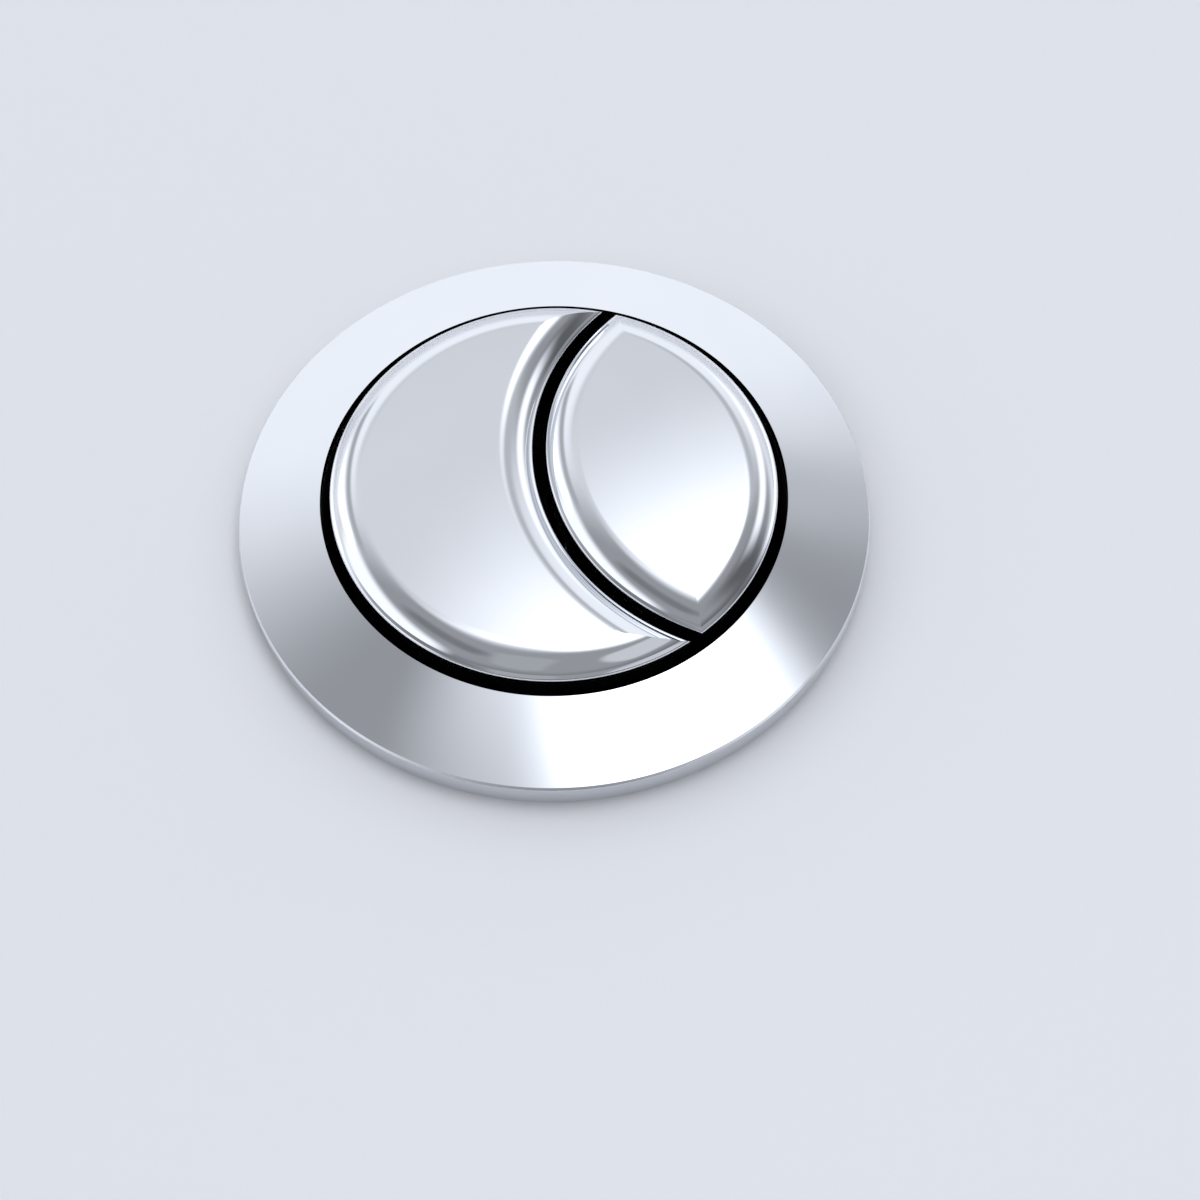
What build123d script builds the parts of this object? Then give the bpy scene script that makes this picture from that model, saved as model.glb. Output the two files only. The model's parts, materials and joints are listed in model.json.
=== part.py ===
from build123d import *
import os
from math import cos, radians, sin, tan

# Dual-flush push button for a cistern lid, in millimetres.
# Z points up along the well's axis, z = 0 is the lid's top face, and +X points to the small button.

# Bezel ring
mouth_radius = 27.15
bezel_width = 9.85
bezel_rise = 2.9
bezel_wall = 1.6
rim_height = 3.2
rim_chamfer = 0.2
lip_height = 1.4
collar_clearance = 0.15
collar_wall = 1.2
lug_count = 6
lug_sweep = 12.0
lug_overlap = 0.6
lug_clearance = 0.1
lug_lid_gap = 0.35

# Housing: flange, threaded barrel, floor and guide tubes
barrel_wall = 1.5
barrel_depth = 32.0
barrel_lead_in = 1.0
thread_depth = 0.8
thread_clearance = 0.3
flange_clearance = 2.15
flange_headroom = 0.2
floor_depth = 20.0
floor_thickness = 2.2
keyway_cover = 0.8
guide_rise = 7.0
guide_drop = 6.0
rib_thickness = 1.6

# Lid clamp: gasket, washer and winged nut
lid_thickness = 10.0
gasket_thickness = 1.0
gasket_clearance = 0.8
washer_width = 8.0
washer_thickness = 1.6
nut_clearance = 0.3
nut_wall = 5.0
nut_height = 11.0
nut_flange_width = 4.0
nut_flange_thickness = 2.4
wing_count = 6
wing_reach = 6.5
wing_thickness = 3.2
wing_taper = 2.0

# Caps: crescent for the full flush, lens for the half flush, split by one arc
mouth_gap = 1.25
cap_rise = 3.1
cap_depth = 11.0
cap_wall = 1.5
cap_crown = 1.8
cap_gap = 1.45
gap_arc_radius = 27.65
gap_crossing = -1.25
shoulder_radius = 3.4
shoulder_angle = 17.0
roll_radius = 6.2
roll_angle = 44.0
ledge_width = 0.5
ledge_slope = 10.0
edge_chamfer = 0.15

# Carriers: plate inside the cap, spring boss and keyed stem
carrier_clearance = 0.15
plate_thickness = 2.2
boss_depth = 1.6
stem_radius = 4.5
stem_clearance = 0.25
stem_tail = 7.0
key_width = 2.0
key_height = 1.2
key_end_gap = 1.2

# Return springs
wire_radius = 0.5
wire_sides = 8
spring_clearance = 0.45
spring_turns = 6
runs_per_turn = 12

# Retaining clips
clip_thickness = 1.0
clip_groove_depth = 0.9
clip_groove_play = 0.1
clip_bite_clearance = 0.05
clip_margin = 0.5
clip_band = 1.9
clip_teeth = 3
clip_tooth_width = 2.6
clip_hold = 0.65

# Push rods, lock nuts and feet
rod_radius = 2.5
rod_fit = 0.1
rod_grip = 16.0
rod_reach = 52.0
rod_end_chamfer = 0.5
rod_bore_spare = 2.0
rod_nut_width = 10.0
rod_nut_height = 4.0
rod_nut_sides = 6
rod_nut_corner_angle = 30.0
foot_radius = 5.0
foot_height = 9.0
foot_socket = 5.0
foot_chamfer = 0.8

# Heights and radii that follow from the sizes above
bezel_radius = mouth_radius + bezel_width
bezel_slope = bezel_rise / bezel_width
mouth_height = rim_height + bezel_rise
rim_inside = bezel_radius - bezel_wall
well_radius = mouth_radius
barrel_radius = well_radius + barrel_wall
thread_crest = barrel_radius + thread_depth
tube_top = mouth_height - lip_height


def bezel_underside(radius):
    """Height of the bezel cone's inner face."""
    return rim_height + (bezel_radius - radius) * bezel_slope - bezel_wall


flange_radius = rim_inside - flange_clearance
flange_bottom = gasket_thickness
flange_top = bezel_underside(flange_radius) - flange_headroom
lug_inside = flange_radius - lug_overlap
floor_top = -floor_depth
floor_bottom = floor_top - floor_thickness
guide_radius = stem_radius + key_height + stem_clearance + keyway_cover
guide_top = floor_top + guide_rise
guide_bottom = floor_bottom - guide_drop

cap_radius = mouth_radius - mouth_gap
cap_top = mouth_height + cap_rise
cap_bottom = cap_top - cap_depth
cap_ceiling = cap_top - cap_crown
gap_arc_offset = gap_arc_radius + gap_crossing
lens_radius = gap_arc_radius - cap_gap / 2
bite_radius = gap_arc_radius + cap_gap / 2
shoulder_width = shoulder_radius * sin(radians(shoulder_angle))
shoulder_height = cap_top - shoulder_radius * (1 - cos(radians(shoulder_angle)))
roll_width = roll_radius * (sin(radians(roll_angle)) - sin(radians(shoulder_angle)))
roll_drop = roll_radius * (cos(radians(shoulder_angle)) - cos(radians(roll_angle)))
ledge_inner = shoulder_height - roll_drop
ledge_outer = ledge_inner - (ledge_width - edge_chamfer) * tan(radians(ledge_slope))

# Each stem stands at the middle of its own cap's width on the X axis.
full_flush_x = (gap_arc_offset - bite_radius - cap_radius) / 2
half_flush_x = (gap_arc_offset - lens_radius + cap_radius) / 2

plate_bottom = cap_ceiling - plate_thickness
clip_top = guide_bottom
clip_bottom = clip_top - clip_thickness
stem_bottom = clip_bottom - stem_tail
rod_top = stem_bottom + rod_grip
rod_bottom = stem_bottom - rod_reach
rod_nut_bottom = stem_bottom - rod_nut_height
foot_bottom = rod_bottom - (foot_height - foot_socket)


def turned(profile, axis_x=0.0):
    """Solid of revolution about the upright line at axis_x, from a sketch of radius and height."""
    return Pos(axis_x, 0, 0) * revolve(Plane.XZ * profile, Axis.Z)


def corners(*points):
    """Sketch of radius and height with straight sides."""
    return make_face(Polyline(*points, close=True))


def upright(radius, low, high, x=0.0):
    """Plain cylinder between two heights."""
    return Pos(x, 0, low) * extrude(Circle(radius), high - low)


def bezel_ring():
    """Chrome ring: upright rim, cone up to the mouth, collar on the flange and snap lugs under it."""
    collar_inside = barrel_radius + collar_clearance
    collar_outside = collar_inside + collar_wall
    ring = turned(corners(
        (bezel_radius, 0),
        (bezel_radius, rim_height - rim_chamfer),
        (bezel_radius - rim_chamfer, rim_height + rim_chamfer * bezel_slope),
        (mouth_radius, mouth_height),
        (mouth_radius, tube_top),
        (collar_inside, tube_top),
        (collar_inside, flange_top),
        (collar_outside, flange_top),
        (collar_outside, bezel_underside(collar_outside)),
        (rim_inside, bezel_underside(rim_inside)),
        (rim_inside, 0),
    ))
    lug_top = flange_bottom - lug_clearance
    lug_root = rim_inside + bezel_wall / 2
    lug = revolve(
        Plane.XZ * corners(
            (lug_inside, lug_top),
            (lug_root, lug_top),
            (lug_root, lug_lid_gap),
            (flange_radius, lug_lid_gap),
        ),
        Axis.Z,
        lug_sweep,
    )
    for i in range(lug_count):
        ring += Rot(0, 0, i * 360 / lug_count - lug_sweep / 2) * lug
    return ring


def key_profile(x, side, clearance):
    """Stem outline with its one key, which points away from the other stem."""
    reach = stem_radius + key_height + clearance
    key = Pos(x + side * reach / 2, 0) * Rectangle(reach, key_width + 2 * clearance)
    return Pos(x, 0) * Circle(stem_radius + clearance) + key


def housing():
    """Black well: flange, barrel, floor, two keyed guide tubes and the ribs that tie them to the wall."""
    cup = turned(corners(
        (0, floor_top),
        (well_radius, floor_top),
        (well_radius, tube_top),
        (barrel_radius, tube_top),
        (barrel_radius, flange_top),
        (flange_radius, flange_top),
        (flange_radius, flange_bottom),
        (barrel_radius, flange_bottom),
        (barrel_radius, barrel_lead_in - barrel_depth),
        (barrel_radius - barrel_lead_in, -barrel_depth),
        (well_radius, -barrel_depth),
        (well_radius, floor_bottom),
        (0, floor_bottom),
    ))
    rib_height = floor_bottom - guide_bottom
    span = 2 * well_radius + barrel_wall
    ribs = Rectangle(span, rib_thickness)
    for x in (full_flush_x, half_flush_x):
        ribs += Pos(x, 0) * Rectangle(rib_thickness, span)
    ribs &= Circle(well_radius + barrel_wall / 2)
    cup += Pos(0, 0, guide_bottom) * extrude(ribs, rib_height)
    for x, side in ((full_flush_x, -1), (half_flush_x, 1)):
        cup += upright(guide_radius, guide_bottom, guide_top, x)
        bore = key_profile(x, side, stem_clearance)
        cup -= Pos(0, 0, guide_bottom) * extrude(bore, guide_top - guide_bottom)
    return cup


def lid_gasket():
    """Soft ring under the flange."""
    ring = Circle(lug_inside - gasket_clearance) - Circle(thread_crest + thread_clearance)
    return extrude(ring, gasket_thickness)


def clamp_washer():
    """Flat ring that bears on the lid's underside."""
    inside = thread_crest + thread_clearance
    ring = Circle(inside + washer_width) - Circle(inside)
    return Pos(0, 0, -lid_thickness - washer_thickness) * extrude(ring, washer_thickness)


def mounting_nut():
    """Hand nut: flanged ring with tapered wings."""
    top = -lid_thickness - washer_thickness
    bottom = top - nut_height
    inside = barrel_radius + nut_clearance
    outside = inside + nut_wall
    flange = outside + nut_flange_width
    reach = outside + wing_reach
    flange_low = top - nut_flange_thickness
    nut = turned(corners(
        (inside, top),
        (flange, top),
        (flange, flange_low),
        (outside, flange_low),
        (outside, bottom),
        (inside, bottom),
    ))
    root = outside - nut_wall / 2
    wing = make_face(Polyline(
        (root, flange_low),
        (reach, flange_low),
        (reach - wing_taper, bottom),
        (root, bottom),
        close=True,
    ))
    wing = extrude(Plane.XZ * wing, wing_thickness / 2, both=True)
    for i in range(wing_count):
        nut += Rot(0, 0, i * 360 / wing_count) * wing
    return nut


def edge_line(foot, inward, low):
    """Open line up a cap's edge, over wall, step, roll and shoulder, and the radius where its flat begins.

    foot is the edge's radius. inward is -1 where the cap lies inside that radius and 1 where it lies outside.
    """
    roll_start = foot + inward * ledge_width
    shoulder_start = roll_start + inward * roll_width
    flat = shoulder_start + inward * shoulder_width
    wall = Polyline(
        (0, low),
        (foot, low),
        (foot, ledge_outer - edge_chamfer),
        (foot + inward * edge_chamfer, ledge_outer),
        (roll_start, ledge_inner),
    )
    roll_centre = shoulder_start + inward * roll_radius * sin(radians(shoulder_angle))
    roll = CenterArc(
        (roll_centre, shoulder_height - roll_radius * cos(radians(shoulder_angle))),
        roll_radius,
        90 + inward * roll_angle,
        inward * (shoulder_angle - roll_angle),
    )
    shoulder = CenterArc(
        (flat, cap_top - shoulder_radius),
        shoulder_radius,
        90 + inward * shoulder_angle,
        -inward * shoulder_angle,
    )
    return wall.edges() + roll.edges() + shoulder.edges(), flat


def rolled_disc(foot, axis_x=0.0):
    """Cap body whose edge stands at radius foot round the axis."""
    edge, flat = edge_line(foot, -1, cap_bottom)
    crown = Polyline((flat, cap_top), (0, cap_top), (0, cap_bottom))
    return turned(make_face(edge + crown.edges()), axis_x)


def rolled_bite(foot, axis_x):
    """Space round the axis that leaves a rolled edge, at radius foot, on the cap that it is cut from."""
    low = cap_bottom - cap_wall
    high = cap_top + cap_wall
    edge, flat = edge_line(foot, 1, low)
    crown = Polyline((flat, cap_top), (flat, high), (0, high), (0, low))
    return turned(make_face(edge + crown.edges()), axis_x)


def lens_plan(inset):
    """Outline of the half flush cap, drawn in by inset."""
    return Circle(cap_radius - inset) & Pos(gap_arc_offset, 0) * Circle(lens_radius - inset)


def crescent_plan(inset):
    """Outline of the full flush cap, drawn in by inset."""
    return Circle(cap_radius - inset) - Pos(gap_arc_offset, 0) * Circle(bite_radius + inset)


def hollow(plan):
    """Room under a cap's crown, inside its wall."""
    return Pos(0, 0, cap_bottom) * extrude(plan(cap_wall), cap_ceiling - cap_bottom)


def half_flush_cap():
    """Lens-shaped shell: two rolled discs that meet in mitres at its points, hollow below."""
    lens = rolled_disc(cap_radius) & rolled_disc(lens_radius, gap_arc_offset)
    return lens - hollow(lens_plan)


def full_flush_cap():
    """Crescent shell: the round rolled disc less a rolled bite, hollow below."""
    crescent = rolled_disc(cap_radius) - rolled_bite(bite_radius, gap_arc_offset)
    return crescent - hollow(crescent_plan)


def carrier(plan, x, side):
    """Plate that fills the cap under its crown, with the spring's boss and the keyed, bored stem."""
    body = Pos(0, 0, plate_bottom) * extrude(plan(cap_wall + carrier_clearance), plate_thickness)
    body += upright(guide_radius, plate_bottom - boss_depth, plate_bottom, x)
    body += upright(stem_radius, stem_bottom, plate_bottom, x)
    key_low = guide_bottom + key_end_gap
    body += Pos(0, 0, key_low) * extrude(key_profile(x, side, 0), plate_bottom - key_low)
    groove = Circle(stem_radius + key_height) - Circle(stem_radius - clip_groove_depth)
    groove_low = clip_bottom - clip_groove_play
    body -= Pos(x, 0, groove_low) * extrude(groove, clip_top - groove_low)
    body -= upright(rod_radius + rod_fit, stem_bottom, rod_top + rod_bore_spare, x)
    return body


def return_spring(x):
    """Coil between the floor and the carrier's plate, of short straight runs of eight-sided wire."""
    coil_radius = guide_radius + spring_clearance + wire_radius
    low = floor_top + wire_radius
    high = plate_bottom - wire_radius
    runs = spring_turns * runs_per_turn
    points = []
    for i in range(runs + 1):
        angle = radians(i * 360 / runs_per_turn)
        height = low + (high - low) * i / runs
        points.append((x + coil_radius * cos(angle), coil_radius * sin(angle), height))
    coil = Polyline(*points)
    wire = Plane(coil @ 0, z_dir=coil % 0) * RegularPolygon(wire_radius, wire_sides)
    return sweep(wire, path=coil, transition=Transition.RIGHT)


def retaining_clip(x, side):
    """E-clip: open band with three teeth that sit in the stem's groove."""
    bite = stem_radius - clip_groove_depth + clip_bite_clearance
    outside = guide_radius + clip_margin
    band = Circle(outside) - Circle(outside - clip_band)
    tooth_root = outside - clip_band / 2
    tooth = Pos((bite + tooth_root) / 2, 0) * Rectangle(tooth_root - bite, clip_tooth_width)
    for i in range(clip_teeth):
        band += Rot(0, 0, i * 360 / clip_teeth) * tooth
    band -= Circle(bite)
    band -= Pos(-outside / 2, 0) * Rectangle(outside, 2 * (bite - clip_hold))
    facing = Rot(0, 0, 0 if side > 0 else 180)
    return Pos(x, 0, clip_bottom) * facing * extrude(band, clip_thickness)


def push_rod(x):
    """Round rod with broken end edges."""
    tip = rod_radius - rod_end_chamfer
    return turned(corners(
        (0, rod_bottom),
        (tip, rod_bottom),
        (rod_radius, rod_bottom + rod_end_chamfer),
        (rod_radius, rod_top - rod_end_chamfer),
        (tip, rod_top),
        (0, rod_top),
    ), x)


def rod_nut(x):
    """Hexagon lock nut with turned corners, tight against the stem's end."""
    half_width = rod_nut_width / 2
    corner = half_width / cos(radians(180 / rod_nut_sides))
    turn = (corner - half_width) * tan(radians(rod_nut_corner_angle))
    blank = turned(corners(
        (rod_radius + rod_fit, rod_nut_bottom),
        (half_width, rod_nut_bottom),
        (corner, rod_nut_bottom + turn),
        (corner, stem_bottom - turn),
        (half_width, stem_bottom),
        (rod_radius + rod_fit, stem_bottom),
    ), x)
    flats = RegularPolygon(half_width, rod_nut_sides, major_radius=False)
    return blank & Pos(x, 0, rod_nut_bottom) * extrude(flats, rod_nut_height)


def rod_foot(x):
    """Blunt cap pushed on the rod's lower end."""
    top = foot_bottom + foot_height
    edge = foot_radius - foot_chamfer
    foot = turned(corners(
        (0, foot_bottom),
        (edge, foot_bottom),
        (foot_radius, foot_bottom + foot_chamfer),
        (foot_radius, top - foot_chamfer),
        (edge, top),
        (0, top),
    ), x)
    return foot - upright(rod_radius + rod_fit, rod_bottom, top, x)


nodes = {
    "bezel_ring": bezel_ring(),
    "housing": housing(),
    "lid_gasket": lid_gasket(),
    "clamp_washer": clamp_washer(),
    "mounting_nut": mounting_nut(),
    "full_flush_cap": full_flush_cap(),
    "half_flush_cap": half_flush_cap(),
}
for name, plan, x, side in (
    ("full_flush", crescent_plan, full_flush_x, -1),
    ("half_flush", lens_plan, half_flush_x, 1),
):
    nodes[name + "_carrier"] = carrier(plan, x, side)
    nodes[name + "_spring"] = return_spring(x)
    nodes[name + "_clip"] = retaining_clip(x, side)
    nodes[name + "_rod"] = push_rod(x)
    nodes[name + "_rod_nut"] = rod_nut(x)
    nodes[name + "_foot"] = rod_foot(x)

os.makedirs("parts", exist_ok=True)
for name, solid in nodes.items():
    export_step(solid, f"parts/{name}.step")
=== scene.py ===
import json
from math import cos, pi, radians, sin, tan, tau

import bmesh
import bpy
from mathutils import Matrix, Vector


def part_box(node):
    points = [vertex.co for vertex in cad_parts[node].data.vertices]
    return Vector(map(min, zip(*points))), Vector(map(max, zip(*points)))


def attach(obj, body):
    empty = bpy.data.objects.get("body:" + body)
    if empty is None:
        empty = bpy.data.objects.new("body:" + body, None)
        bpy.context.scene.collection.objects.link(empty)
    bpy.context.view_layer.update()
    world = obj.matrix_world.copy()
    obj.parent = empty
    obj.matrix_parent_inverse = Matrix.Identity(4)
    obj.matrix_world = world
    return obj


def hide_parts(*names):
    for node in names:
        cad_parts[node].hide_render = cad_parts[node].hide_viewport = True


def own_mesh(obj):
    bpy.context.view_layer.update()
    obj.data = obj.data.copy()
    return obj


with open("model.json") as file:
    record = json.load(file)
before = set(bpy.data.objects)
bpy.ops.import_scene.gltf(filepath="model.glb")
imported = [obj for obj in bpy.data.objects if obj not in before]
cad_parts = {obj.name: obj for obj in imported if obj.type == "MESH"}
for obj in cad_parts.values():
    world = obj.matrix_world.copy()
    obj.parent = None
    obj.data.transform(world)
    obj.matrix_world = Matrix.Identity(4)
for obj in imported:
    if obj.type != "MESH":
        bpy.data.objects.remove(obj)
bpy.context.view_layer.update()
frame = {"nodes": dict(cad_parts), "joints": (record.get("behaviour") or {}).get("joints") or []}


# Black well that hangs under the bezel and carries both buttons: one ABS moulding, satin from the fine
# grain of its tool. The coarse thread is moulded on, and the winged nut runs up it from below.
MM = 0.001
turn_steps = 48


def linear(colour):
    """Linear red, green, blue and alpha of an sRGB hex colour."""
    channels = [int(colour[i:i + 2], 16) / 255 for i in (1, 3, 5)]
    return [c / 12.92 if c <= 0.04045 else ((c + 0.055) / 1.055) ** 2.4 for c in channels] + [1.0]


def add(tree, kind, inputs, **settings):
    """Adds a node with its settings and gives its outputs; an input is a value, or an output to link."""
    node = tree.nodes.new("ShaderNode" + kind)
    for name, value in settings.items():
        setattr(node, name, value)
    for name, value in inputs.items():
        if isinstance(value, bpy.types.NodeSocket):
            tree.links.new(value, node.inputs[name])
        else:
            node.inputs[name].default_value = value
    return node.outputs


def moulded(name, dark, light, flow, grain, depth, roughness, ior):
    """Moulded finish: two close tones in patches of flow, and a finer grain in the gloss and as bump."""
    material = bpy.data.materials.new(name)
    material.use_nodes = True
    tree = material.node_tree
    shader = tree.nodes["Principled BSDF"].inputs
    place = add(tree, "TexCoord", {})["Object"]
    patches = add(tree, "TexNoise", {"Vector": place, "Scale": 1 / flow, "Detail": 3.0})["Fac"]
    # the grain that a real tool leaves is about 0.1 mm wide; each finish draws it coarser, to show
    grit = add(tree, "TexNoise", {"Vector": place, "Scale": 1 / grain, "Detail": 2.0})["Fac"]
    tone = add(
        tree, "Mix", {"Factor": patches, "A": linear(dark), "B": linear(light)}, data_type="RGBA",
    )["Result"]
    gloss = add(tree, "MapRange", {"Value": grit, "To Min": roughness[0], "To Max": roughness[1]})["Result"]
    bump = add(tree, "Bump", {"Height": grit, "Strength": 0.5, "Distance": depth})["Normal"]
    tree.links.new(tone, shader["Base Color"])
    tree.links.new(gloss, shader["Roughness"])
    tree.links.new(bump, shader["Normal"])
    shader["IOR"].default_value = ior
    return material


def dress(material, *names):
    """Gives the nodes of these names one material."""
    for name in names:
        frame["nodes"][name].data.materials[0] = material


def new_piece(name, bm, material):
    """Makes a bmesh into a piece, smooth apart from its real edges."""
    edge_angle = radians(35)
    bmesh.ops.recalc_face_normals(bm, faces=bm.faces)
    mesh = bpy.data.meshes.new(name)
    bm.to_mesh(mesh)
    bm.free()
    mesh.materials.append(material)
    mesh.shade_smooth()
    mesh.set_sharp_from_angle(angle=edge_angle)
    piece = bpy.data.objects.new(name, mesh)
    bpy.context.scene.collection.objects.link(piece)
    return piece


def thread(name, material, core, crest, pitch, low, high, x=0.0):
    """Moulded thread: one blunt ridge wound round an upright core at x, between two heights."""
    sunk = 0.05 * pitch
    half_foot = 0.36 * pitch
    half_tip = 0.16 * pitch
    turns = (high - low - 2 * half_foot) / pitch
    steps = round(turns * turn_steps)
    start = low + half_foot
    bm = bmesh.new()
    bm.faces.new([
        bm.verts.new((x + core - sunk, 0, start - half_foot)),
        bm.verts.new((x + crest, 0, start - half_tip)),
        bm.verts.new((x + crest, 0, start + half_tip)),
        bm.verts.new((x + core - sunk, 0, start + half_foot)),
    ])
    bmesh.ops.spin(
        bm, geom=bm.verts[:] + bm.edges[:] + bm.faces[:], cent=(x, 0, 0), axis=(0, 0, 1),
        dvec=(0, 0, turns * pitch / steps), angle=turns * tau, steps=steps,
    )
    return new_piece(name, bm, material)


black_abs = moulded(
    "black_abs", "#0B0B0D", "#141517",
    flow=14 * MM, grain=0.5 * MM, depth=0.03 * MM, roughness=(0.34, 0.52), ior=1.54,
)
dress(black_abs, "housing")
barrel_core = 28.65 * MM
barrel_crest = 29.45 * MM
barrel_thread = thread(
    "barrel_thread", black_abs, barrel_core, barrel_crest,
    pitch=3.0 * MM, low=-30.5 * MM, high=-1.0 * MM,
)
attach(barrel_thread, "housing")


# Gasket under the well's flange, washer above the winged nut, and the feet of the push rods: moulded
# synthetic rubber, dull black with a dusty bloom. The rings lie loose until the nut draws them up.
black_rubber = moulded(
    "black_rubber", "#1C1C1E", "#2A2A2C",
    flow=5 * MM, grain=0.35 * MM, depth=0.02 * MM, roughness=(0.72, 0.92), ior=1.52,
)
dress(black_rubber, "lid_gasket", "clamp_washer", "full_flush_foot", "half_flush_foot")


# Winged nut that clamps the well from below: moulded in natural white polypropylene, which looks
# slightly waxy and cloudy. It is turned by hand on its wings.
white_polypropylene = moulded(
    "white_polypropylene", "#E4E3DB", "#EFEEE8",
    flow=11 * MM, grain=0.6 * MM, depth=0.02 * MM, roughness=(0.38, 0.55), ior=1.49,
)
dress(white_polypropylene, "mounting_nut")


# Bezel ring: an ABS moulding with a bright decorative chrome plate, which snaps over the well's flange with
# six lugs. It is turned here in fine steps, because a mirror shows every facet.
def chrome_plate():
    """Bright chrome over moulded ABS: a mirror with a faint pull in the plastic and a wiped polish."""
    material = bpy.data.materials.new("chrome_plate")
    material.use_nodes = True
    tree = material.node_tree
    shader = tree.nodes["Principled BSDF"].inputs
    place = add(tree, "TexCoord", {})["Object"]
    pull = add(tree, "TexNoise", {"Vector": place, "Scale": 1 / (9 * MM), "Detail": 1.0})["Fac"]
    wipe = add(tree, "TexNoise", {"Vector": place, "Scale": 1 / (3 * MM), "Detail": 4.0})["Fac"]
    tone = add(
        tree, "Mix", {"Factor": pull, "A": linear("#E6E9EE"), "B": linear("#EBEDF1")}, data_type="RGBA",
    )["Result"]
    gloss = add(tree, "MapRange", {"Value": wipe, "To Min": 0.04, "To Max": 0.08})["Result"]
    bump = add(tree, "Bump", {"Height": pull, "Strength": 0.1, "Distance": 0.01 * MM})["Normal"]
    tree.links.new(tone, shader["Base Color"])
    tree.links.new(gloss, shader["Roughness"])
    tree.links.new(bump, shader["Normal"])
    shader["Metallic"].default_value = 1.0
    return material


chrome = chrome_plate()


def turned(line, x=0.0, sweep=tau, steps=256, copies=1):
    """Piece with this line of radius and height swept about the upright axis at x, once or in even copies."""
    weld = 0.0001 * MM
    bm = bmesh.new()
    for i in range(copies):
        points = [bm.verts.new((x + radius, 0, height)) for radius, height in line]
        geom = points + [bm.edges.new(pair) for pair in zip(points, points[1:])]
        if sweep < tau:
            geom.append(bm.faces.new(points))
        start = Matrix.Rotation(tau * i / copies - sweep / 2, 3, "Z")
        bmesh.ops.rotate(bm, verts=points, cent=(x, 0, 0), matrix=start)
        bmesh.ops.spin(
            bm, geom=geom, cent=(x, 0, 0), axis=(0, 0, 1), angle=sweep, steps=steps, use_merge=sweep == tau,
        )
    bmesh.ops.remove_doubles(bm, verts=bm.verts, dist=weld)
    return new_piece("turned", bm, chrome)


def carve(piece, tool, operation):
    """Joins a piece with a tool, or cuts it, and uses the tool up."""
    cut = piece.modifiers.new("cut", "BOOLEAN")
    cut.object = tool
    cut.operation = operation
    cut.solver = "EXACT"
    piece.data = bpy.data.meshes.new_from_object(piece.evaluated_get(bpy.context.evaluated_depsgraph_get()))
    piece.modifiers.clear()
    bpy.data.objects.remove(tool)


def plated(piece, name, body, node):
    """Finishes a chromed piece that stands for a node, with the slivers of its cuts merged."""
    sliver = 0.002 * MM
    edge_angle = radians(12)
    piece.name = name
    bm = bmesh.new()
    bm.from_mesh(piece.data)
    bmesh.ops.remove_doubles(bm, verts=bm.verts, dist=sliver)
    bmesh.ops.dissolve_degenerate(bm, edges=bm.edges, dist=sliver)
    bm.to_mesh(piece.data)
    bm.free()
    piece.data.shade_smooth()
    piece.data.set_sharp_from_angle(angle=edge_angle)
    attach(piece, body)
    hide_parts(node)


bezel_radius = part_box("bezel_ring")[1].x
mouth_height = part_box("bezel_ring")[1].z
mouth_radius = 27.15 * MM
rim_height = 3.2 * MM
rim_chamfer = 0.2 * MM
bezel_wall = 1.6 * MM
lip_depth = 1.4 * MM
collar_inside = 28.8 * MM
collar_outside = 30.0 * MM
flange_radius = 33.25 * MM
flange_headroom = 0.2 * MM
bezel_slope = (mouth_height - rim_height) / (bezel_radius - mouth_radius)
rim_inside = bezel_radius - bezel_wall
lip_bottom = mouth_height - lip_depth


def cone_underside(radius):
    """Height of the underside of the bezel's cone at a radius."""
    return rim_height + (bezel_radius - radius) * bezel_slope - bezel_wall


collar_bottom = cone_underside(flange_radius) - flange_headroom
bezel = turned([
    (bezel_radius, 0),
    (bezel_radius, rim_height - rim_chamfer),
    (bezel_radius - rim_chamfer, rim_height + rim_chamfer * bezel_slope),
    (mouth_radius, mouth_height),
    (mouth_radius, lip_bottom),
    (collar_inside, lip_bottom),
    (collar_inside, collar_bottom),
    (collar_outside, collar_bottom),
    (collar_outside, cone_underside(collar_outside)),
    (rim_inside, cone_underside(rim_inside)),
    (rim_inside, 0),
    (bezel_radius, 0),
])
lug_inside = 32.65 * MM
lug_root = rim_inside + bezel_wall / 2
lug_bottom = 0.35 * MM
lug_top = 0.9 * MM
lugs = turned(
    [(lug_inside, lug_top), (lug_root, lug_top), (lug_root, lug_bottom), (flange_radius, lug_bottom)],
    sweep=radians(12), steps=8, copies=6,
)
carve(bezel, lugs, "UNION")
plated(bezel, "plated_bezel", "housing", "bezel_ring")


# Crescent cap for the full flush and lens cap for the half flush: hollow ABS shells with the same plate,
# each pushed on its carrier. A thin step runs round the foot of the rolled edge, and the edge is mitred
# where the outer circle and the arc of the gap meet in the points.
low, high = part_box("full_flush_cap")
cap_radius = -low.x
cap_bottom = low.z
cap_top = high.z
cap_wall = 1.5 * MM
cap_roof = 1.8 * MM
cap_ceiling = cap_top - cap_roof
edge_radius = 0.4 * MM
edge_steps = 6
step_width = 0.5 * MM
step_slope = radians(27)
roll_radius = 6.2 * MM
roll_angle = radians(44)
roll_steps = 18
shoulder_radius = 3.4 * MM
shoulder_angle = radians(17)
shoulder_steps = 10
shoulder_width = shoulder_radius * sin(shoulder_angle)
shoulder_height = cap_top - shoulder_radius * (1 - cos(shoulder_angle))
roll_width = roll_radius * (sin(roll_angle) - sin(shoulder_angle))
step_height = shoulder_height - roll_radius * (cos(shoulder_angle) - cos(roll_angle))
step_tread = step_width - edge_radius * (1 - sin(step_slope))
edge_height = step_height - step_tread * tan(step_slope) - edge_radius * cos(step_slope)
gap_arc_radius = 27.65 * MM
gap_crossing = -1.25 * MM
gap_arc_x = gap_crossing + gap_arc_radius
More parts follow.
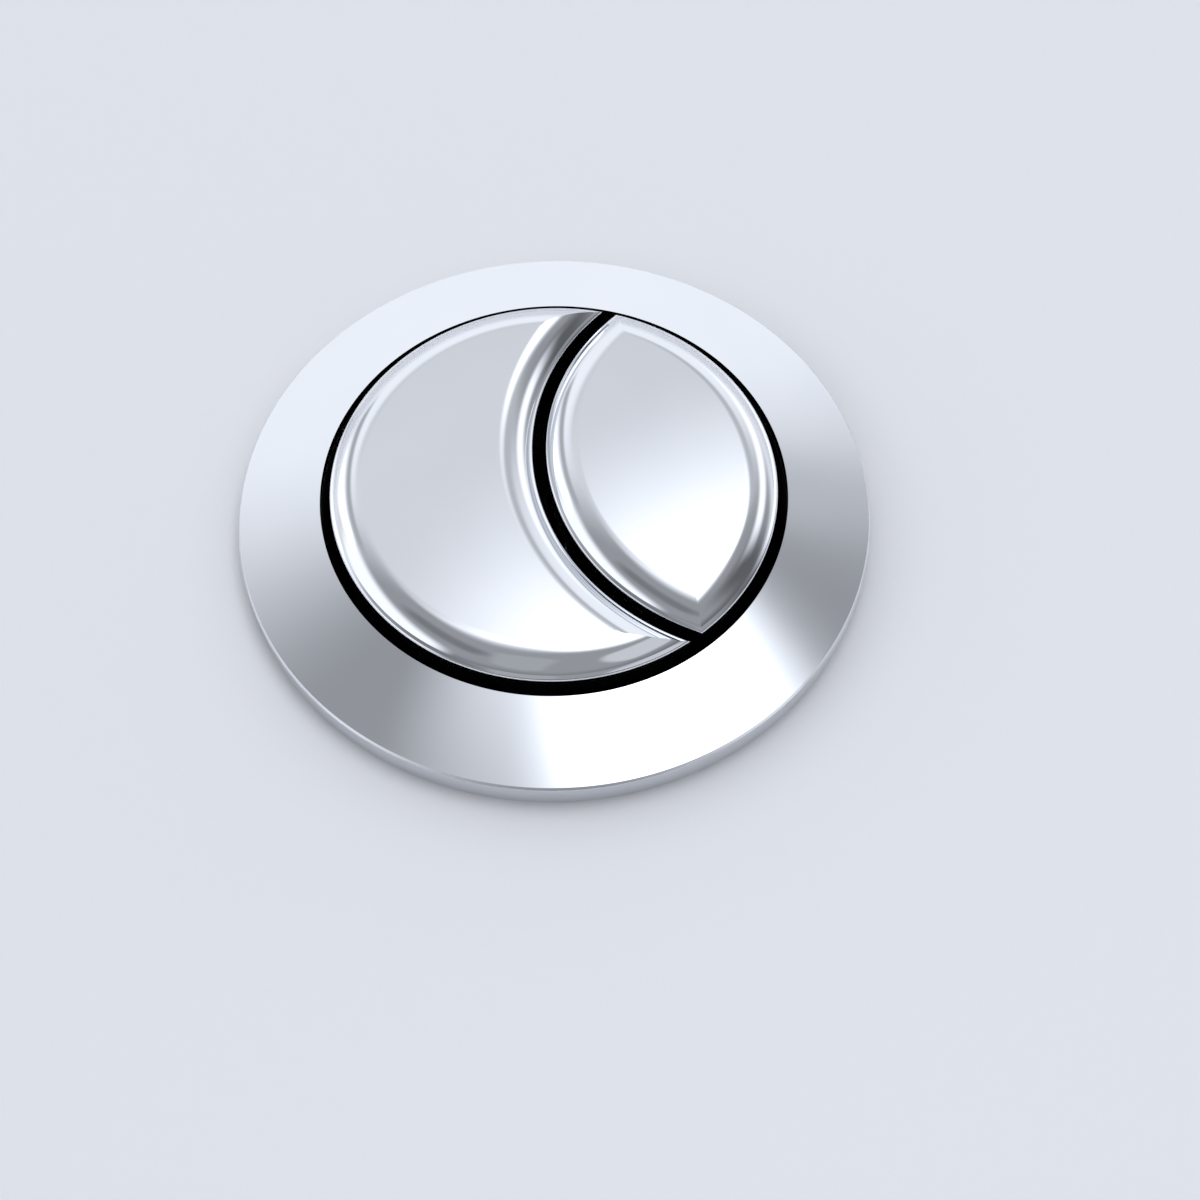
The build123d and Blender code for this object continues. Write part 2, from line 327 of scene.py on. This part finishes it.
cap_gap = 1.45 * MM
spare = 1.0 * MM


def cap_edge(foot, inward):
    """Points of radius and height up a cap's edge: step, roll and shoulder, to where the flat begins."""
    line = []
    for i in range(edge_steps + 1):
        angle = pi / 2 + (step_slope - pi / 2) * i / edge_steps
        across = edge_radius * (1 - sin(angle))
        line.append((foot + inward * across, edge_height + edge_radius * cos(angle)))
    flat = foot + inward * (step_width + roll_width + shoulder_width)
    for i in range(roll_steps + 1):
        angle = roll_angle + (shoulder_angle - roll_angle) * i / roll_steps
        across = roll_radius * (sin(angle) - sin(shoulder_angle)) + shoulder_width
        down = roll_radius * (cos(shoulder_angle) - cos(angle))
        line.append((flat - inward * across, shoulder_height - down))
    for i in range(1, shoulder_steps + 1):
        angle = shoulder_angle * (1 - i / shoulder_steps)
        across = shoulder_radius * sin(angle)
        down = shoulder_radius * (1 - cos(angle))
        line.append((flat - inward * across, cap_top - down))
    return line


def filled(line):
    """The line of an outside, closed to its axis at both ends."""
    return [(0, line[0][1])] + line + [(0, line[-1][1])]


for button, inward, operation in (("full_flush", 1, "DIFFERENCE"), ("half_flush", -1, "INTERSECT")):
    arc_radius = gap_arc_radius + inward * cap_gap / 2
    cap = turned(filled([(cap_radius, cap_bottom)] + cap_edge(cap_radius, -1)))
    arc_edge = cap_edge(arc_radius, inward)
    arc_side = [(arc_radius, cap_bottom - spare)] + arc_edge + [(arc_edge[-1][0], cap_top + spare)]
    carve(cap, turned(filled(arc_side), gap_arc_x), operation)
    inside_radius = cap_radius - cap_wall
    inside = turned(filled([(inside_radius, cap_bottom - spare), (inside_radius, cap_ceiling)]))
    inner_arc = arc_radius + inward * cap_wall
    arc_wall = turned(filled([(inner_arc, cap_bottom - 2 * spare), (inner_arc, cap_top)]), gap_arc_x)
    carve(inside, arc_wall, operation)
    carve(cap, inside, "DIFFERENCE")
    plated(cap, button + "_plated_cap", button, button + "_cap")


# Carriers inside the caps, each a plate with a keyed stem that slides in the well's guide tube: moulded
# black acetal, which is duller and more even than the well.
black_acetal = moulded(
    "black_acetal", "#131416", "#1B1C1E",
    flow=20 * MM, grain=0.9 * MM, depth=0.01 * MM, roughness=(0.46, 0.6), ior=1.48,
)
dress(black_acetal, "full_flush_carrier", "half_flush_carrier")


# Return springs round the guide tubes, and the clips that hold the stems up: drawn stainless wire wound
# with closed ends, and stamped strip of the same steel.
def spring_steel(name, axis_x):
    """Drawn steel: fine lines along the wire, which change only with height and distance from the axis."""
    material = bpy.data.materials.new(name)
    material.use_nodes = True
    tree = material.node_tree
    shader = tree.nodes["Principled BSDF"].inputs
    place = add(tree, "TexCoord", {})["Object"]
    centred = add(tree, "Mapping", {"Vector": place, "Location": (-axis_x, 0, 0)})["Vector"]
    height = add(tree, "SeparateXYZ", {"Vector": centred})["Z"]
    level = add(tree, "VectorMath", {0: centred, 1: (1, 1, 0)}, operation="MULTIPLY")["Vector"]
    radius = add(tree, "VectorMath", {0: level}, operation="LENGTH")["Value"]
    across = add(tree, "CombineXYZ", {"X": radius, "Z": height})["Vector"]
    # real drawing lines are under 0.05 mm apart; they are drawn four times as coarse to show
    lines = add(tree, "TexNoise", {"Vector": across, "Scale": 1 / (0.2 * MM), "Detail": 2.0})["Fac"]
    tone = add(
        tree, "Mix", {"Factor": lines, "A": linear("#B4B6B9"), "B": linear("#CFD0D2")}, data_type="RGBA",
    )["Result"]
    gloss = add(tree, "MapRange", {"Value": lines, "To Min": 0.2, "To Max": 0.4})["Result"]
    tree.links.new(tone, shader["Base Color"])
    tree.links.new(gloss, shader["Roughness"])
    shader["Metallic"].default_value = 1.0
    return material


wire_radius = 0.5 * MM
open_turns = 5
closed_turns = 1.0
closed_pitch = 2.1 * wire_radius
closed_climb = closed_turns * closed_pitch
for joint in frame["joints"]:
    button = joint["child"]
    low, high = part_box(button + "_spring")
    axis_x = (low.x + high.x) / 2
    coil_radius = (high.y - low.y) / 2 - wire_radius
    climb = high.z - low.z - 2 * wire_radius
    wire_steel = spring_steel(button + "_spring_steel", axis_x)
    wire_start = Matrix.Translation((axis_x + coil_radius, 0, low.z + wire_radius))
    upright = Matrix.Rotation(pi / 2, 4, "X")
    bm = bmesh.new()
    bmesh.ops.create_circle(bm, cap_ends=True, radius=wire_radius, segments=14, matrix=wire_start @ upright)
    end = bm.verts[:] + bm.edges[:] + bm.faces[:]
    for turns, rise in (
        (closed_turns, closed_climb), (open_turns, climb - 2 * closed_climb), (closed_turns, closed_climb),
    ):
        steps = round(turns * turn_steps)
        end = bmesh.ops.spin(
            bm, geom=end, cent=(axis_x, 0, 0), axis=(0, 0, 1),
            dvec=(0, 0, rise / steps), angle=turns * tau, steps=steps,
        )["geom_last"]
    spring = new_piece(button + "_coil", bm, wire_steel)
    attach(spring, "housing")
    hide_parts(button + "_spring")
    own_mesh(spring)
    dress(wire_steel, button + "_clip")


# Push rods that reach down to the flush valve, with their lock nuts: natural nylon, creamy and a little
# cloudy. The thread is moulded on and lets the rod be screwed to length.
natural_nylon = moulded(
    "natural_nylon", "#E2DCC8", "#ECE7D8",
    flow=8 * MM, grain=0.4 * MM, depth=0.02 * MM, roughness=(0.42, 0.6), ior=1.53,
)
rod_core = 2.5 * MM
rod_crest = 2.95 * MM
for joint in frame["joints"]:
    button = joint["child"]
    dress(natural_nylon, button + "_rod", button + "_rod_nut")
    low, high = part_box(button + "_rod")
    rod_thread = thread(
        button + "_rod_thread", natural_nylon, rod_core, rod_crest, pitch=1.25 * MM,
        low=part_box(button + "_foot")[1].z, high=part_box(button + "_rod_nut")[0].z, x=(low.x + high.x) / 2,
    )
    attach(rod_thread, button)


# Plain floor with an even, pale satin paint, level with the seat under the rim and open where the well
# passes through. From below it is left clear, so that what hangs under it can be seen.
floor_hole = 36.8 * MM
floor_reach = 4.0
bm = bmesh.new()
bmesh.ops.create_circle(bm, radius=floor_hole, segments=128)
ring = bmesh.ops.extrude_edge_only(bm, edges=bm.edges[:])["geom"]
outside = [item for item in ring if isinstance(item, bmesh.types.BMVert)]
bmesh.ops.scale(bm, verts=outside, vec=(floor_reach / floor_hole,) * 3)
bmesh.ops.reverse_faces(bm, faces=bm.faces)
mesh = bpy.data.meshes.new("floor")
bm.to_mesh(mesh)
bm.free()
floor = bpy.data.objects.new("floor", mesh)
bpy.context.scene.collection.objects.link(floor)
floor_paint = bpy.data.materials.new("floor_paint")
floor_paint.use_nodes = True
tree = floor_paint.node_tree
shader = tree.nodes["Principled BSDF"]
shader.inputs["Base Color"].default_value = linear("#FAFBFE")
shader.inputs["Roughness"].default_value = 0.5
underside = add(tree, "NewGeometry", {})["Backfacing"]
clear = add(tree, "BsdfTransparent", {})["BSDF"]
surface = add(tree, "MixShader", {0: underside, 1: shader.outputs["BSDF"], 2: clear})["Shader"]
tree.links.new(surface, tree.nodes["Material Output"].inputs["Surface"])
mesh.materials.append(floor_paint)


# Camera: in front of the button and above it, at the photograph's angle, with the small button to the
# right. It looks at the middle of the rim's upper edge, and is then panned, tilted and rolled a little.
camera_turn = radians(-9.3)
camera_rise = radians(56.489)
camera_distance = 223.48 * MM
camera_aim = (0, 0, rim_height)
stand = Matrix.Rotation(camera_turn, 4, "Z") @ Matrix.Rotation(pi / 2 - camera_rise, 4, "X")
pan = Matrix.Rotation(radians(-1.259), 4, "Y")
tilt = Matrix.Rotation(radians(-2.977), 4, "X")
roll = Matrix.Rotation(radians(-2.056), 4, "Z")
lens = bpy.data.cameras.new("camera")
lens.lens = 56.986
lens.clip_start = 10 * MM
camera = bpy.data.objects.new("camera", lens)
bpy.context.scene.collection.objects.link(camera)
camera.matrix_world = (
    Matrix.Translation(camera_aim) @ stand @ Matrix.Translation((0, 0, camera_distance)) @ pan @ tilt @ roll
)
bpy.context.scene.camera = camera


# Studio: a surround that is pale behind and grey in front, with soft-edged strips of light and dark round
# the button. Azimuths run from the camera's right, anticlockwise from above; all angles are in degrees.
pale_side = camera_turn + radians(100)
pale_level = 1.12
pale_from = 0.8
grey_level = 0.38
grey_until = 0.18
horizon_level = 0.95
horizon_until = 0.04
sky_from = 0.24
world = bpy.data.worlds.new("studio")
bpy.context.scene.world = world
world.use_nodes = True
# the light is broad and soft, so rays that leave the surfaces find it by themselves, and faster
world.cycles.sampling_method = "NONE"
tree = world.node_tree
direction = add(tree, "TexCoord", {})["Generated"]
towards_pale = add(
    tree, "VectorMath", {0: direction, 1: (cos(pale_side), sin(pale_side), 0)}, operation="DOT_PRODUCT",
)["Value"]
level = add(
    tree, "MapRange",
    {
        "Value": towards_pale, "From Min": grey_until, "From Max": pale_from,
        "To Min": grey_level, "To Max": pale_level,
    },
    interpolation_type="SMOOTHSTEP",
)["Result"]
for strip, azimuth, rise, turn, half_length, half_width, edge, radiance in (
    ("behind", 88, 47, 0, 26, 9, 18, 0.78),
    ("behind right", 60, 43, 0, 14, 6, 10, 0.6),
    ("front low", 275, 10, 0, 80, 22, 14, 0.17),
    ("left", 188, 23, 0, 28, 14, 12, 1.3),
    ("left dark", 208, 53, 0, 14, 6, 8, 0.24),
    ("back left bright", 147, 15, 49, 20, 6, 6, 1.6),
    ("back left dark", 138, 27, 49, 22, 4, 6, 0.5),
    ("back right bright", 40, 20, -32, 36, 6, 8, 1.4),
    ("right dark", 2, 27, 90, 16, 12, 20, 0.14),
    ("front left", 250, 52, 90, 14, 9, 4, 0.46),
    ("front right", 312, 48, 0, 14, 12, 4, 0.72),
    ("overhead glow", 60, 81, 30, 16, 16, 26, 1.5),
    ("overhead", 41, 74, 139, 20, 16, 16, 2.6),
):
    facing = (
        Matrix.Rotation(camera_turn + radians(azimuth + 90), 3, "Z")
        @ Matrix.Rotation(radians(90 - rise), 3, "X")
        @ Matrix.Rotation(radians(turn), 3, "Z")
    )
    ahead = add(tree, "VectorMath", {0: direction, 1: facing.col[2]}, operation="DOT_PRODUCT")["Value"]
    aside = add(tree, "VectorMath", {0: direction, 1: facing.col[1]}, operation="DOT_PRODUCT")["Value"]
    aside = add(tree, "Math", {0: aside}, operation="ABSOLUTE")["Value"]
    between_ends = add(
        tree, "MapRange",
        {
            "Value": ahead,
            "From Min": cos(radians(half_length + edge / 2)),
            "From Max": cos(radians(half_length - edge / 2)),
        },
        interpolation_type="SMOOTHSTEP",
    )["Result"]
    cover = add(
        tree, "MapRange",
        {
            "Value": aside, "To Min": between_ends, "To Max": 0.0,
            "From Min": sin(radians(half_width - edge / 2)),
            "From Max": sin(radians(half_width + edge / 2)),
        },
        interpolation_type="SMOOTHSTEP",
    )["Result"]
    level = add(
        tree, "Mix", {"Factor": cover, "A": level, "B": radiance}, data_type="FLOAT", label=strip,
    )["Result"]
# pale at the horizon and below it, for what hangs there, and no glints thrown by the chrome on the floor
upwards = add(tree, "SeparateXYZ", {"Vector": direction})["Z"]
level = add(
    tree, "MapRange",
    {
        "Value": upwards, "From Min": horizon_until, "From Max": sky_from,
        "To Min": horizon_level, "To Max": level,
    },
    interpolation_type="SMOOTHSTEP",
)["Result"]
path = add(tree, "LightPath", {})
thrown = add(
    tree, "Math", {0: path["Is Glossy Ray"], 1: path["Diffuse Depth"]}, operation="MULTIPLY",
)["Value"]
level = add(tree, "Mix", {"Factor": thrown, "A": level, "B": 0.0}, data_type="FLOAT")["Result"]
background = tree.nodes["Background"].inputs
background["Color"].default_value = linear("#F4F7FD")
tree.links.new(level, background["Strength"])
bpy.context.scene.view_settings.view_transform = "Standard"
